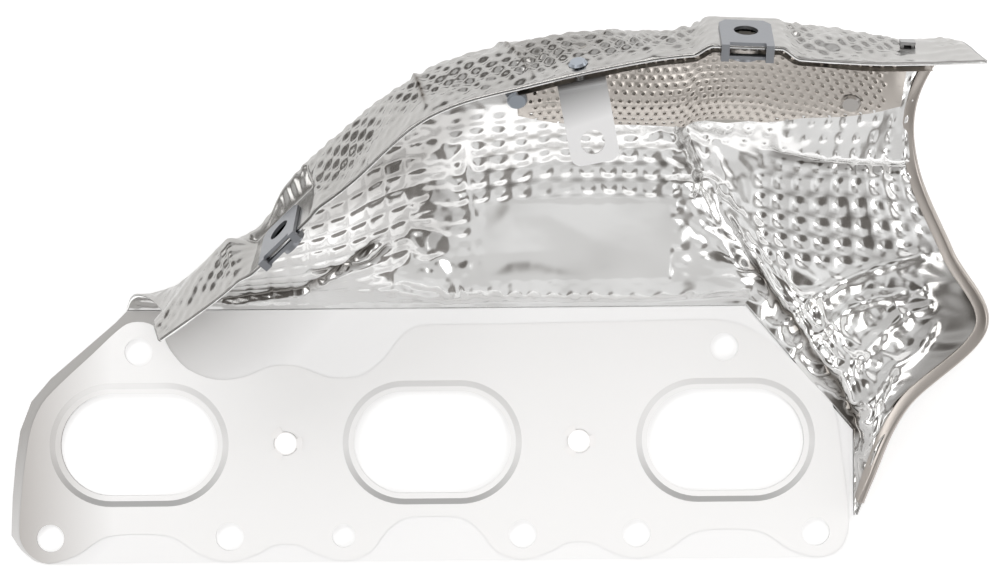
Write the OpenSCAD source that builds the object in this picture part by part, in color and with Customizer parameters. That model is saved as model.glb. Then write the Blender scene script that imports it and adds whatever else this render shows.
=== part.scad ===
// Exhaust manifold gasket with an integral heat shield hood, for a three-port bank.
// Millimetres. X runs along the port row, Y up towards the hood, Z out of the manifold face.
// The origin is on the axis of the middle port, midway between the two locating eyelets,
// with Z = 0 on the plane that the rear beads rest on.

/* [Ports] */
// Distance between neighbouring port centres
port_pitch = 90; // [80:1:110]
// Port opening width
port_w = 48; // [36:1:56]
// Port opening height
port_h = 31; // [24:1:34]
// Flat land around each port opening
land_w = 1.7; // [1:0.1:2.5]
// Width of the bead slope
slope_w = 1.8; // [1:0.1:3]

/* [Layers] */
// Thickness of each beaded layer
bead_t = 0.25; // [0.2:0.05:0.4]
// Thickness of the carrier plate
carrier_t = 0.8; // [0.5:0.1:1.2]
// Free height of the beads
bead_h = 0.6; // [0.3:0.05:0.8]

/* [Fixings] */
// Radius of the stud holes
bolt_r = 4.2; // [3.5:0.1:5.5]
// Radius of the close-fitting stud hole
close_r = 3.5; // [3:0.1:4.2]
// Inner radius of the tubular eyelets
eyelet_r = 3.2; // [2.5:0.1:4]
// Clearance radius through the clip nuts
clip_r = 3.5; // [3.1:0.1:4]
// Thread radius of the clip nuts
thread_r = 2.5; // [2:0.05:3]
// Radius of the hole in the hanging bracket
bracket_r = 3.5; // [3:0.1:4.5]

/* [Shield] */
// Thickness of each embossed sheet
sheet_t = 0.5; // [0.3:0.05:0.6]
// Thickness of the insulating mat
mat_t = 1.3; // [1:0.1:3]
// Thickness of the perforated liner
liner_t = 0.4; // [0.3:0.05:0.6]
// Width of the hanging bracket
bracket_w = 14; // [12:0.5:18]

/* [Hidden] */
$fn = 64;
z_rear = bead_h;
z_carrier = z_rear + bead_t;
z_front = z_carrier + carrier_t;
z_top = z_front + bead_t;
ring_w = land_w + slope_w;
gap = 0.1;
in_top = -gap;
in_low = in_top - sheet_t;
mat_top = in_low - gap;
mat_low = mat_top - mat_t;
liner_top = mat_low - gap;
liner_low = liner_top - liner_t;

// Outline of the carrier plate, clockwise from the bottom left corner.
carrier_edge = [
  [-118, -36.5], [-122.5, -35.5], [-126.5, -32], [-129.5, -27.5], [-129, -16], [-128, -5.5],
  [-126.5, 4.5], [-123, 13.5], [-117, 20.5], [-97, 37.5], [-93.5, 41], [96.5, 41], [129, 2.7],
  [129, -23.8], [127.8, -25], [127.6, -29], [126, -33], [123, -35.7], [119.5, -36.5]];

// Outline of the front layer, clockwise from the left.
front_guide = [
  [-118, -36.2], [-122.7, -34.4], [-125.8, -31], [-127, -26.5], [-126.3, -16], [-125, -5],
  [-123.2, 5], [-119.8, 12.7], [-114, 19], [-104.5, 27.6], [-96.5, 35], [-92, 37.6], [-86.5, 37.2],
  [-82.5, 34], [-80.5, 29.5], [-75, 23.2], [-66.3, 19.8], [-57.7, 20.5], [-51, 23.2], [-45.5, 24],
  [-39.5, 23.2], [-33, 20.5], [-27.3, 19.9], [-20.8, 21], [-14.4, 25.9], [-10.5, 31.1], [-6.6, 34.6],
  [-1.4, 35.9], [18, 36], [38.6, 36.3], [64, 36.6], [86, 36.8], [96, 34.8], [105, 29], [114.5, 20.8],
  [120.5, 14.8], [123.8, 8.1], [125.3, -2.4], [126.5, -12], [127.4, -21.7], [127.2, -28],
  [124.5, -33.8], [118, -36.2], [109.5, -33.8], [102, -28.8], [95.5, -27.5], [85.5, -27.5],
  [79, -28.8], [71.5, -33.8], [62.5, -36.2], [54, -33.8], [49.5, -31.4], [45, -30.8], [40.5, -31.4],
  [36, -33.8], [27.5, -36.2], [19.5, -33.6], [14, -26.8], [8.5, -23.2], [0, -22.7], [-8.5, -23.2],
  [-14, -26.8], [-19.5, -33.6], [-27.5, -36.2], [-36, -33.8], [-40.5, -31.4], [-45, -30.8],
  [-49.5, -31.4], [-54, -33.8], [-62.5, -36.2], [-71.5, -33.8], [-79, -28.8], [-85.5, -27.5],
  [-95.5, -27.5], [-102, -28.8], [-109.5, -33.8]];

// Outline of the rear layer, which stays clear of the shield's foot flange.
rear_guide = [
  [-118, -36.2], [-123.5, -34.5], [-127.5, -30.8], [-129.2, -26], [-128.8, -16], [-127.6, -5],
  [-126, 4.5], [-122.6, 13.4], [-116.6, 20.2], [-106, 29.4], [-99, 34.6], [-93, 35.9], [-60, 36],
  [0, 36], [60, 36], [84, 35.8], [93, 34.6], [101, 28], [112, 15], [120.5, 4.5], [123.4, -4],
  [123.6, -16], [124.2, -22], [127, -26.5], [126.6, -31], [123.5, -34.9], [118, -36.2],
  [109.5, -33.8], [102, -28.8], [95.5, -27.5], [85.5, -27.5], [79, -28.8], [71.5, -33.8],
  [62.5, -36.2], [54, -33.8], [49.5, -31.4], [45, -30.8], [40.5, -31.4], [36, -33.8], [27.5, -36.2],
  [19.5, -33.6], [14, -26.8], [8.5, -23.2], [0, -22.7], [-8.5, -23.2], [-14, -26.8], [-19.5, -33.6],
  [-27.5, -36.2], [-36, -33.8], [-40.5, -31.4], [-45, -30.8], [-49.5, -31.4], [-54, -33.8],
  [-62.5, -36.2], [-71.5, -33.8], [-79, -28.8], [-85.5, -27.5], [-95.5, -27.5], [-102, -28.8],
  [-109.5, -33.8]];

bolts = [[-90, 28.5], [90, 28.5], [-117.5, -28.5], [117.5, -28.5], [-62.5, -28.5], [62.5, -28.5],
  [27.5, -28.5]];
close_bolt = [-27.5, -28.5];
eyelets = [[-45, 0], [45, 0]];

// Guide rows of the hood, from the fold along the gasket out to the free mouth edge.
// Each row has one point for every station, from the left end round to the right tail.
z_fold = z_carrier;
fold_row = [[-93.5, 42, z_fold], [-75, 42, z_fold], [-55, 42, z_fold], [-30, 42, z_fold],
  [0, 42, z_fold], [35, 42, z_fold], [70, 42, z_fold], [97, 42, z_fold], [113.5, 22.5, z_fold],
  [130, 3, z_fold], [130, -10, z_fold], [130, -23.5, z_fold]];
foot_row = [[-91.5, 45, 8], [-74.5, 46, 8], [-54.5, 47, 8], [-30, 47.5, 8], [0, 48, 8], [35, 48, 8],
  [70, 48, 7.5], [98, 47, 7.5], [117, 25.5, 9], [133.5, 6, 9], [134, -5, 8], [133.5, -13, 8]];
low_row = [[-88.5, 46, 17], [-73.5, 48, 18], [-54, 50, 19], [-30, 52, 17], [-0.5, 57, 14],
  [35, 59, 13], [70, 58, 13], [94, 54.5, 11], [114.5, 38, 13], [133.5, 19, 14], [139.5, 12.5, 16],
  [144, 10, 18]];
panel_row = [[-84.5, 45, 25], [-72.5, 49.5, 27], [-53.5, 54, 31], [-29.5, 59, 29], [-1, 68, 24],
  [35, 72, 22], [69.5, 72, 22], [89.5, 66, 15], [110.5, 50, 16], [134, 35, 22], [147, 31, 28],
  [166, 34, 36]];
shoulder_row = [[-81, 42.5, 32], [-71.5, 51, 35], [-53, 58, 41], [-29.5, 66.5, 39], [-2, 79.5, 35],
  [34.5, 85.5, 33], [69, 85, 33], [86, 79, 23], [108, 66, 23], [133.5, 57, 28], [146, 55, 33],
  [155.5, 57, 39]];
vault_row = [[-79, 40.5, 39], [-69.5, 52, 43], [-52, 62, 49], [-29.5, 74, 48], [-2, 89, 45],
  [34.5, 94.5, 44], [69, 94, 43], [85.5, 91.5, 34], [108, 85, 34], [129, 83, 38], [138.5, 82, 43],
  [145, 81.5, 45]];
knee_row = [[-79.5, 39.5, 46], [-68, 53, 51], [-51, 66, 57], [-29.5, 81, 57], [-2.5, 98, 56],
  [34, 102.5, 55], [69, 103, 55], [88.5, 102, 50], [111, 100.5, 52], [129.5, 101, 56],
  [138.5, 101.5, 58], [143.5, 101.5, 57]];
crest_row = [[-80.5, 37.5, 52], [-65.5, 52.5, 58], [-50, 69, 63], [-30, 87.5, 65], [-3, 109, 67],
  [33.5, 119, 68], [70, 121, 68], [92, 121.5, 68], [112, 121.5, 68], [128.5, 119, 68],
  [141, 117.5, 68], [153, 117, 68]];
mouth_row = [[-78.5, 32.5, 61], [-57.5, 47, 71], [-40.5, 63, 81], [-22, 76.5, 87], [2, 96, 91],
  [33, 105, 92], [69, 112, 92], [91.5, 112.5, 92], [110.5, 111, 91], [128.5, 110, 89],
  [144.5, 110, 87], [161, 110.5, 85]];
rows = [foot_row, low_row, panel_row, shoulder_row, vault_row, knee_row, crest_row, mouth_row];

// Where along the hood its solids are sampled, closer together round the two nut seats.
u_full = [0, 0.25, 0.5, 0.75, 1, 1.2, 1.35, 1.45, 1.6, 1.75, 1.9, 2.05, 2.2, 2.3, 2.45, 2.6, 2.8, 3,
  3.25, 3.5, 3.75, 4, 4.25, 4.5, 4.75, 5, 5.25, 5.5, 5.75, 6, 6.25, 6.4, 6.5, 6.6, 6.7, 6.85, 7, 7.15,
  7.3, 7.45, 7.6, 7.7, 7.8, 8, 8.25, 8.5, 8.75, 9, 9.25, 9.5, 9.75, 10, 10.25, 10.5, 10.75, 11];
v_full = [-1, 0, 0.5, 1, 1.5, 2, 2.5, 3, 3.5, 4, 4.5, 5, 5.25, 5.6, 6, 6.35, 6.7, 7, 7.2, 7.4, 7.6, 7.8,
  8];

// Nut seats: station, raise of the seat, half width and slot reach.
top_nut_u = 7.02;
left_nut_u = 1.84;
bracket_v = 7.8;
top_raise = 2.5;
left_raise = -2;
// How much steeper than the lip's chord the left nut's seat stands, in degrees
left_tilt = 18;
bracket_u = 5.3;

function unit(a) = a / norm(a);
function edge_pt(L, i) = i < 0 ? 2 * L[0] - L[1]
  : i > len(L) - 1 ? 2 * L[len(L) - 1] - L[len(L) - 2] : L[i];
function blend4(a, b, c, d, t) = 0.5 * (2 * b + (c - a) * t + (2 * a - 5 * b + 4 * c - d) * t * t
  + (3 * b - a - 3 * c + d) * t * t * t);
function spline(L, x) = let(i = max(0, min(floor(x), len(L) - 2)))
  blend4(edge_pt(L, i - 1), edge_pt(L, i), edge_pt(L, i + 1), edge_pt(L, i + 2), x - i);
function straight(L, x) = let(i = max(0, min(floor(x), len(L) - 2)))
  L[i] + (L[i + 1] - L[i]) * (x - i);
function closed(L, n) = [for (i = [0:len(L) - 1]) for (k = [0:n - 1])
  blend4(L[(i + len(L) - 1) % len(L)], L[i], L[(i + 1) % len(L)], L[(i + 2) % len(L)], k / n)];
function ease(x) = let(c = max(0, min(1, x))) c * c * (3 - 2 * c);

// Direction that the fold faces, turned smoothly past the two corners of the gasket.
function fold_out(u) = let(a = 49.8 * ease((u - 6.85) / 0.3) + 40.2 * ease((u - 8.8) / 0.4))
  [sin(a), cos(a), 0];
function raw(u, v) = v < 0 ? straight(fold_row, u) + 5 * v * fold_out(u)
  : spline(concat([straight(fold_row, u)], [for (r = rows) spline(r, u)]), v);

// A frame on the bare hood: place, along the edge, into the sheet, outward.
function frame_at(u, v) = let(p = raw(u, v), du = raw(u + 0.05, v) - raw(u - 0.05, v),
  dv = raw(u, v) - raw(u, v - 0.05), n = unit(cross(dv, du)), y = -unit(dv - (dv * unit(du))
  * unit(du))) [p, unit(cross(y, n)), y, n];
// A frame on the chord of the lip, from the free edge back towards the crest, tilted about the edge.
function lip_at(u, tilt) = let(p = raw(u, 8), q = raw(u, 7.25),
  x = unit(raw(u + 0.3, 8) - raw(u - 0.3, 8)), m = unit(cross(x, q - p)),
  y = cos(tilt) * cross(m, x) - sin(tilt) * m, n = cos(tilt) * m + sin(tilt) * cross(m, x))
  [p + 9.5 * y, x, y, n];
function seat(f, raise) = [f[0] + raise * f[3], f[1], f[2], f[3]];
top_seat = seat(lip_at(top_nut_u, 0), top_raise);
left_seat = seat(lip_at(left_nut_u, left_tilt), left_raise);
function press(p, s, w, l) = let(a = abs((p - s[0]) * s[1]), b = abs((p - s[0]) * s[2]),
  h = (p - s[0]) * s[3])
  p - ease((w + 6 - a) / 6) * ease((l + 5 - b) / 5) * ease((14 - abs(h)) / 4) * h * s[3];
function hood(u, v) = v < 5.5 ? raw(u, v)
  : press(press(raw(u, v), top_seat, 9.5, 12), left_seat, 12, 10.5);

grid = [for (u = u_full) [for (v = v_full) hood(u, v)]];
nu = len(u_full);
nv = len(v_full);
function out_at(i, j) = unit(cross(grid[i][min(j + 1, nv - 1)] - grid[i][max(j - 1, 0)],
  grid[min(i + 1, nu - 1)][j] - grid[max(i - 1, 0)][j]));
outs = [for (i = [0:nu - 1]) [for (j = [0:nv - 1]) out_at(i, j)]];

// A closed sheet between two distances from the hood's reference surface.
module shell(i0, i1, j0, j1, low, high) {
  m = i1 - i0 + 1;
  n = j1 - j0 + 1;
  pts = concat(
    [for (i = [i0:i1]) for (j = [j0:j1]) grid[i][j] + low * outs[i][j]],
    [for (i = [i0:i1]) for (j = [j0:j1]) grid[i][j] + high * outs[i][j]]);
  b = m * n;
  faces = concat(
    [for (i = [0:m - 2]) for (j = [0:n - 2]) [i * n + j, i * n + j + 1, (i + 1) * n + j + 1]],
    [for (i = [0:m - 2]) for (j = [0:n - 2]) [i * n + j, (i + 1) * n + j + 1, (i + 1) * n + j]],
    [for (i = [0:m - 2]) for (j = [0:n - 2])
      [b + i * n + j, b + (i + 1) * n + j + 1, b + i * n + j + 1]],
    [for (i = [0:m - 2]) for (j = [0:n - 2])
      [b + i * n + j, b + (i + 1) * n + j, b + (i + 1) * n + j + 1]],
    [for (i = [0:m - 2]) [i * n, (i + 1) * n, b + (i + 1) * n]],
    [for (i = [0:m - 2]) [i * n, b + (i + 1) * n, b + i * n]],
    [for (i = [0:m - 2]) [i * n + n - 1, b + (i + 1) * n + n - 1, (i + 1) * n + n - 1]],
    [for (i = [0:m - 2]) [i * n + n - 1, b + i * n + n - 1, b + (i + 1) * n + n - 1]],
    [for (j = [0:n - 2]) [j, b + j + 1, j + 1]],
    [for (j = [0:n - 2]) [j, b + j, b + j + 1]],
    [for (j = [0:n - 2]) [(m - 1) * n + j, (m - 1) * n + j + 1, b + (m - 1) * n + j + 1]],
    [for (j = [0:n - 2]) [(m - 1) * n + j, b + (m - 1) * n + j + 1, b + (m - 1) * n + j]]);
  polyhedron(points = pts, faces = faces);
}

module place(f) {
  multmatrix([[f[1][0], f[2][0], f[3][0], f[0][0]], [f[1][1], f[2][1], f[3][1], f[0][1]],
    [f[1][2], f[2][2], f[3][2], f[0][2]], [0, 0, 0, 1]]) children();
}

// A seat's frame moved to where the free edge crosses it.
function on_edge(s, u) = let(e = raw(u, 8), k = (e - s[0]) * s[2]) [s[0] + k * s[2], s[1], s[2], s[3]];
top_clip = on_edge(top_seat, top_nut_u);
left_clip = on_edge(left_seat, left_nut_u);
nut_hole_y = 9;
// First samples along the hood that carry the liner and the mat under it.
i_liner = search(4.75, u_full)[0];
i_mat = i_liner + 1;

module stadium(w, h, t) {
  hull_w = (w - h) / 2;
  for (s = [-1, 1]) translate([s * hull_w, 0, 0]) cylinder(h = t, r = h / 2);
  translate([-hull_w, -h / 2, 0]) cube([2 * hull_w, h, t]);
}

// Half bead round one port, stepping by rise from the sheet to the land.
module bead(rise) {
  r = port_h / 2;
  s = (port_w - port_h) / 2;
  section = [[r, rise], [r + land_w, rise], [r + ring_w, 0], [r + ring_w, bead_t],
    [r + land_w, rise + bead_t], [r, rise + bead_t]];
  translate([s, 0, 0]) rotate([0, 0, -90]) rotate_extrude(angle = 180) polygon(section);
  translate([-s, 0, 0]) rotate([0, 0, 90]) rotate_extrude(angle = 180) polygon(section);
  for (a = [0, 180]) rotate([0, 0, a]) translate([s, 0, 0]) rotate([90, 0, -90])
    linear_extrude(height = 2 * s) polygon([for (p = section) [-p[0], p[1]]]);
}

module holes(r_eye) {
  for (b = bolts) translate([b[0], b[1], -1]) cylinder(h = 6, r = bolt_r);
  translate([close_bolt[0], close_bolt[1], -1]) cylinder(h = 6, r = close_r);
  for (e = eyelets) translate([e[0], e[1], -1]) cylinder(h = 6, r = r_eye);
}

module layer(outline, z, rise) {
  difference() {
    translate([0, 0, z]) linear_extrude(height = bead_t) polygon(outline);
    holes(eyelet_r + 0.5);
    for (k = [-1:1]) translate([k * port_pitch, 0, -1])
      stadium(port_w + 2 * ring_w, port_h + 2 * ring_w, 6);
  }
  for (k = [-1:1]) translate([k * port_pitch, 0, z]) bead(rise);
}

module front_bead_layer() {
  color([0.86, 0.85, 0.84]) layer(closed(front_guide, 3), z_front, bead_h);
}

module carrier_layer() {
  color([0.8, 0.81, 0.82]) difference() {
    translate([0, 0, z_carrier]) linear_extrude(height = carrier_t) polygon(carrier_edge);
    holes(eyelet_r + 0.5);
    for (k = [-1:1]) translate([k * port_pitch, 0, -1]) stadium(port_w + 1, port_h + 1, 6);
  }
}

module rear_bead_layer() {
  color([0.84, 0.84, 0.84]) layer(closed(rear_guide, 3), z_rear, -bead_h);
}

// Tubular eyelet: a rolled rim behind the stack and three claws bent over in front.
module eyelet(at) {
  low = z_rear - 0.4;
  color([0.72, 0.72, 0.74]) translate([at[0], at[1], 0]) difference() {
    union() {
      translate([0, 0, low]) cylinder(h = z_top + 0.35 - low, r = eyelet_r + 0.4);
      translate([0, 0, low]) cylinder(h = 0.4, r = eyelet_r + 1.9);
      for (a = [0, 130, 230]) rotate([0, 0, a - 24]) translate([0, 0, z_top])
        rotate_extrude(angle = 48) polygon([[eyelet_r, 0], [eyelet_r + 2.1, 0],
          [eyelet_r + 2.1, 0.35], [eyelet_r, 0.35]]);
    }
    translate([0, 0, -1]) cylinder(h = 6, r = eyelet_r);
  }
}

module eyelet_left() {
  eyelet(eyelets[0]);
}

module eyelet_right() {
  eyelet(eyelets[1]);
}

module nut_holes(r) {
  for (c = [top_clip, left_clip]) place(c) translate([0, nut_hole_y, -6]) cylinder(h = 12, r = r);
}

module shield_outer_sheet() {
  color([0.83, 0.83, 0.83]) difference() {
    shell(0, nu - 1, 0, nv - 1, 0, sheet_t);
    nut_holes(3.5);
  }
}

module shield_inner_sheet() {
  color([0.93, 0.93, 0.93]) difference() {
    shell(0, nu - 1, 2, nv - 1, in_low, in_top);
    nut_holes(3.5);
  }
}

// Everything below the liner's curved lower edge, seen along the mouth.
module below_liner(back) {
  translate([0, back, 36]) linear_extrude(height = 38) polygon([
    [15, 99.5], [23, 98.5], [30.5, 96.5], [38, 95.5], [49, 95], [74, 94], [86.5, 94], [98.5, 95],
    [110.5, 96], [124.5, 96.5], [133.5, 98], [150, 100], [150, 60], [15, 60]]);
}

module insulation_mat() {
  color([0.55, 0.53, 0.5]) difference() {
    shell(i_mat, nu - 5, 13, nv - 2, mat_low, mat_top);
    nut_holes(6);
    below_liner(1.2);
  }
}

module perforated_liner() {
  color([0.66, 0.62, 0.58]) difference() {
    shell(i_liner, nu - 4, 12, nv - 1, liner_low, liner_top);
    nut_holes(3.5);
    below_liner(0);
  }
}

// Strip crimped over the right free edge, swept along it as a channel section.
binding_rows = [2:16];
module edge_binding() {
  rim = [for (j = binding_rows) let(e = unit(grid[nu - 2][j] - grid[nu - 1][j]),
    n = outs[nu - 1][j], p = grid[nu - 1][j])
    [for (q = [[-0.8, -1.2], [3, -1.2], [3, -0.7], [-0.2, -0.7], [-0.2, 0.6], [3, 0.6], [3, 1.1],
      [-0.8, 1.1]]) p + q[0] * e + q[1] * n]];
  m = len(rim);
  pts = [for (r = rim) for (q = r) q];
  sides = [for (i = [0:m - 2]) for (k = [0:7]) let(k2 = (k + 1) % 8)
    [i * 8 + k, (i + 1) * 8 + k, (i + 1) * 8 + k2]];
  sides2 = [for (i = [0:m - 2]) for (k = [0:7]) let(k2 = (k + 1) % 8)
    [i * 8 + k, (i + 1) * 8 + k2, i * 8 + k2]];
  cap = [[0, 1, 2], [0, 2, 3], [0, 3, 4], [0, 4, 7], [4, 5, 6], [4, 6, 7]];
  color([0.62, 0.57, 0.52]) polyhedron(points = pts, faces = concat(sides, sides2,
    cap, [for (c = cap) [(m - 1) * 8 + c[2], (m - 1) * 8 + c[1], (m - 1) * 8 + c[0]]]));
}

// Spring nut that straddles the free edge; z = 0 is the shield's reference surface.
module clip_nut(reach) {
  top = sheet_t + gap;
  low = reach - gap;
  difference() {
    union() {
      linear_extrude_at(top, 1) polygon([[-7.5, -0.5], [7.5, -0.5], [7.5, 14.5], [5.5, 17],
        [-5.5, 17], [-7.5, 14.5]]);
      for (s = [-1, 1]) translate([s * 6.35 - 1.15, -2.5, low - 1]) cube([2.3, 1, top + 2 - low]);
      for (s = [-1, 1]) translate([s * 6.35 - 1.15, -2.5, top]) cube([2.3, 2.5, 1]);
      for (s = [-1, 1]) translate([s * 6.35 - 1.15, -2.5, low - 1]) cube([2.3, 3, 1]);
      linear_extrude_at(low - 1, 1) polygon([[-7.5, -0.5], [7.5, -0.5], [7.5, 14], [-7.5, 14]]);
      translate([0, nut_hole_y, low - 4]) cylinder(h = 4, r = 4);
    }
    translate([0, nut_hole_y, top - 1]) cylinder(h = 4, r = clip_r);
    translate([0, nut_hole_y, low - 5]) cylinder(h = 6, r = thread_r);
  }
}

module linear_extrude_at(z, h) {
  translate([0, 0, z]) linear_extrude(height = h) children();
}

module clip_nut_top() {
  color([0.62, 0.66, 0.7]) place(top_clip) clip_nut(liner_low);
}

module clip_nut_left() {
  color([0.62, 0.66, 0.7]) place(left_clip) clip_nut(in_low);
}

// Bracket: a leg riveted under the lip, a bend, and a strap that hangs across the mouth.
bracket_at = frame_at(bracket_u, bracket_v);
leg_top = liner_low - 0.45;
leg_t = 1.2;
bend_r = 2.5;
bend_end = 158;
strap_l = 21.5;
module hanging_bracket() {
  c = [-2, leg_top - leg_t - bend_r];
  steps = [90 : (bend_end - 90) / 8 : bend_end + 0.01];
  arc_out = [for (a = steps) c + (bend_r + leg_t) * [cos(a), sin(a)]];
  arc_in = [for (a = steps) c + bend_r * [cos(248 - a), sin(248 - a)]];
  profile = concat([[6.5, leg_top]], arc_out, arc_in, [[6.5, leg_top - leg_t]]);
  color([0.8, 0.8, 0.81]) place(bracket_at) difference() {
    union() {
      rotate([90, 0, 90]) translate([0, 0, -bracket_w / 2]) linear_extrude(height = bracket_w)
        polygon(profile);
      translate([0, c[0], c[1]]) rotate([bend_end, 0, 0]) translate([0, bend_r + leg_t, 0])
        rotate([90, 0, 0]) linear_extrude(height = leg_t) strap_outline();
    }
    translate([0, 0, leg_top - 3]) cylinder(h = 4, r = 1.7);
    translate([0, c[0], c[1]]) rotate([bend_end, 0, 0]) translate([0, bend_r + 3, strap_l - 6.3])
      rotate([90, 0, 0]) cylinder(h = 5, r = bracket_r);
  }
}

module strap_outline() {
  w = bracket_w / 2;
  translate([-w, 0]) square([2 * w, strap_l - 3]);
  translate([3 - w, strap_l - 4]) square([2 * w - 6, 4]);
  for (s = [-1, 1]) translate([s * (w - 3), strap_l - 3]) circle(r = 3);
}

// Rivet seen from the hood's frame: a flat head outside and a rolled tail inside.
module rivet(f, top_r, low_z, low_r) {
  place(f) {
    translate([0, 0, low_z]) cylinder(h = sheet_t + 0.2 - low_z, r = 1.6);
    translate([0, 0, sheet_t + 0.1]) cylinder(h = 0.7, r1 = top_r, r2 = top_r - 0.6);
    translate([0, 0, low_z - 0.7]) cylinder(h = 0.8, r1 = low_r - 0.6, r2 = low_r);
  }
}

module bracket_rivet() {
  color([0.6, 0.64, 0.68]) rivet(bracket_at, 2.8, leg_top - leg_t - 0.1, 2.6);
}

module liner_rivet_left() {
  color([0.6, 0.64, 0.68]) rivet(frame_at(4.8, 6.1), 2.4, liner_low - 0.1, 3);
}

module liner_rivet_right() {
  color([0.6, 0.64, 0.68]) rivet(frame_at(8.7, 6.05), 2.4, liner_low - 0.1, 3);
}

// Small clinched staple that ties the sheets together beyond the liner.
module edge_staple() {
  color([0.6, 0.6, 0.6]) place(frame_at(9.75, 7.45)) {
    translate([-2.2, -1.3, sheet_t + 0.1]) cube([4.4, 2.6, 0.9]);
    for (s = [-1, 1]) translate([s * 1.5 - 0.4, -1, in_low - 0.9]) cube([0.8, 2, 2.4]);
    translate([-2.2, -1.3, in_low - 0.9]) cube([4.4, 2.6, 0.8]);
  }
}

front_bead_layer();
carrier_layer();
rear_bead_layer();
eyelet_left();
eyelet_right();
shield_outer_sheet();
shield_inner_sheet();
insulation_mat();
perforated_liner();
edge_binding();
clip_nut_top();
clip_nut_left();
hanging_bracket();
bracket_rivet();
liner_rivet_left();
liner_rivet_right();
edge_staple();
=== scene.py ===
"""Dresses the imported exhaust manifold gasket.

It adds the embossed hood sheets, the perforated liner, the edge strip, the materials, the lights
and the camera. Lengths are in millimetres until a mesh is made. The hood is a grid: U counts
stations along it from the left end, and V counts guide rows from the fold up to the mouth edge.
"""
import math

import bmesh
import bpy
import numpy as np
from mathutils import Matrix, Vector


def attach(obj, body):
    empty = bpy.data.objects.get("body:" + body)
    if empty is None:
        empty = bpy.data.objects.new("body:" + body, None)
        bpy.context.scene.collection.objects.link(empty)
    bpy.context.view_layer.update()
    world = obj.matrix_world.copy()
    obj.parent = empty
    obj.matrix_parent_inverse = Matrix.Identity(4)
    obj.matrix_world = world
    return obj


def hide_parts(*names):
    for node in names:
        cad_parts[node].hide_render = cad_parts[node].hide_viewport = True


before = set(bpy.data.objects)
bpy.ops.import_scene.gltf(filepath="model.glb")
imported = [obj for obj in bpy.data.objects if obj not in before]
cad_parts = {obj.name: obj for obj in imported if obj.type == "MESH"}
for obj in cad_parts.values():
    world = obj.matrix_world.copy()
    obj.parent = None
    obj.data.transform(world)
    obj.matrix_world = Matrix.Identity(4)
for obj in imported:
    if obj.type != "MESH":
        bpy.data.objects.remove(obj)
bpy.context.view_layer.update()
MM = 0.001
rng = np.random.default_rng(7)

# Guide rows of the hood in millimetres, from the fold to the free mouth edge, one point a station.
Z_FOLD = 0.85
FOLD = [(-93.5, 42), (-75, 42), (-55, 42), (-30, 42), (0, 42), (35, 42), (70, 42), (97, 42),
        (113.5, 22.5), (130, 3), (130, -10), (130, -23.5)]
ROWS = [
    [(-91.5, 45, 8), (-74.5, 46, 8), (-54.5, 47, 8), (-30, 47.5, 8), (0, 48, 8), (35, 48, 8),
     (70, 48, 7.5), (98, 47, 7.5), (117, 25.5, 9), (133.5, 6, 9), (134, -5, 8), (133.5, -13, 8)],
    [(-88.5, 46, 17), (-73.5, 48, 18), (-54, 50, 19), (-30, 52, 17), (-0.5, 57, 14), (35, 59, 13),
     (70, 58, 13), (94, 54.5, 11), (114.5, 38, 13), (133.5, 19, 14), (139.5, 12.5, 16),
     (144, 10, 18)],
    [(-84.5, 45, 25), (-72.5, 49.5, 27), (-53.5, 54, 31), (-29.5, 59, 29), (-1, 68, 24),
     (35, 72, 22), (69.5, 72, 22), (89.5, 66, 15), (110.5, 50, 16), (134, 35, 22), (147, 31, 28),
     (166, 34, 36)],
    [(-81, 42.5, 32), (-71.5, 51, 35), (-53, 58, 41), (-29.5, 66.5, 39), (-2, 79.5, 35),
     (34.5, 85.5, 33), (69, 85, 33), (86, 79, 23), (108, 66, 23), (133.5, 57, 28), (146, 55, 33),
     (155.5, 57, 39)],
    [(-79, 40.5, 39), (-69.5, 52, 43), (-52, 62, 49), (-29.5, 74, 48), (-2, 89, 45),
     (34.5, 94.5, 44), (69, 94, 43), (85.5, 91.5, 34), (108, 85, 34), (129, 83, 38),
     (138.5, 82, 43), (145, 81.5, 45)],
    [(-79.5, 39.5, 46), (-68, 53, 51), (-51, 66, 57), (-29.5, 81, 57), (-2.5, 98, 56),
     (34, 102.5, 55), (69, 103, 55), (88.5, 102, 50), (111, 100.5, 52), (129.5, 101, 56),
     (138.5, 101.5, 58), (143.5, 101.5, 57)],
    [(-80.5, 37.5, 52), (-65.5, 52.5, 58), (-50, 69, 63), (-30, 87.5, 65), (-3, 109, 67),
     (33.5, 119, 68), (70, 121, 68), (92, 121.5, 68), (112, 121.5, 68), (128.5, 119, 68),
     (141, 117.5, 68), (153, 117, 68)],
    [(-78.5, 32.5, 61), (-57.5, 47, 71), (-40.5, 63, 81), (-22, 76.5, 87), (2, 96, 91),
     (33, 105, 92), (69, 112, 92), (91.5, 112.5, 92), (110.5, 111, 91), (128.5, 110, 89),
     (144.5, 110, 87), (161, 110.5, 85)]]
FOLD = np.array([(x, y, Z_FOLD) for x, y in FOLD])
ROWS = [np.array(r, float) for r in ROWS]
# Thicknesses of the plies and the gap between them; a ply's offset is its face seen from outside.
SHEET, GAP, MAT, LINER_SHEET = 0.5, 0.1, 1.3, 0.4
INNER = -GAP - SHEET
LINER = INNER - GAP - MAT - GAP - LINER_SHEET


# ---------- the hood's reference surface ----------
def ease(x):
    """0 to 1, smoothly, as x goes from 0 to 1."""
    c = np.clip(x, 0, 1)
    return c * c * (3 - 2 * c)


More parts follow.
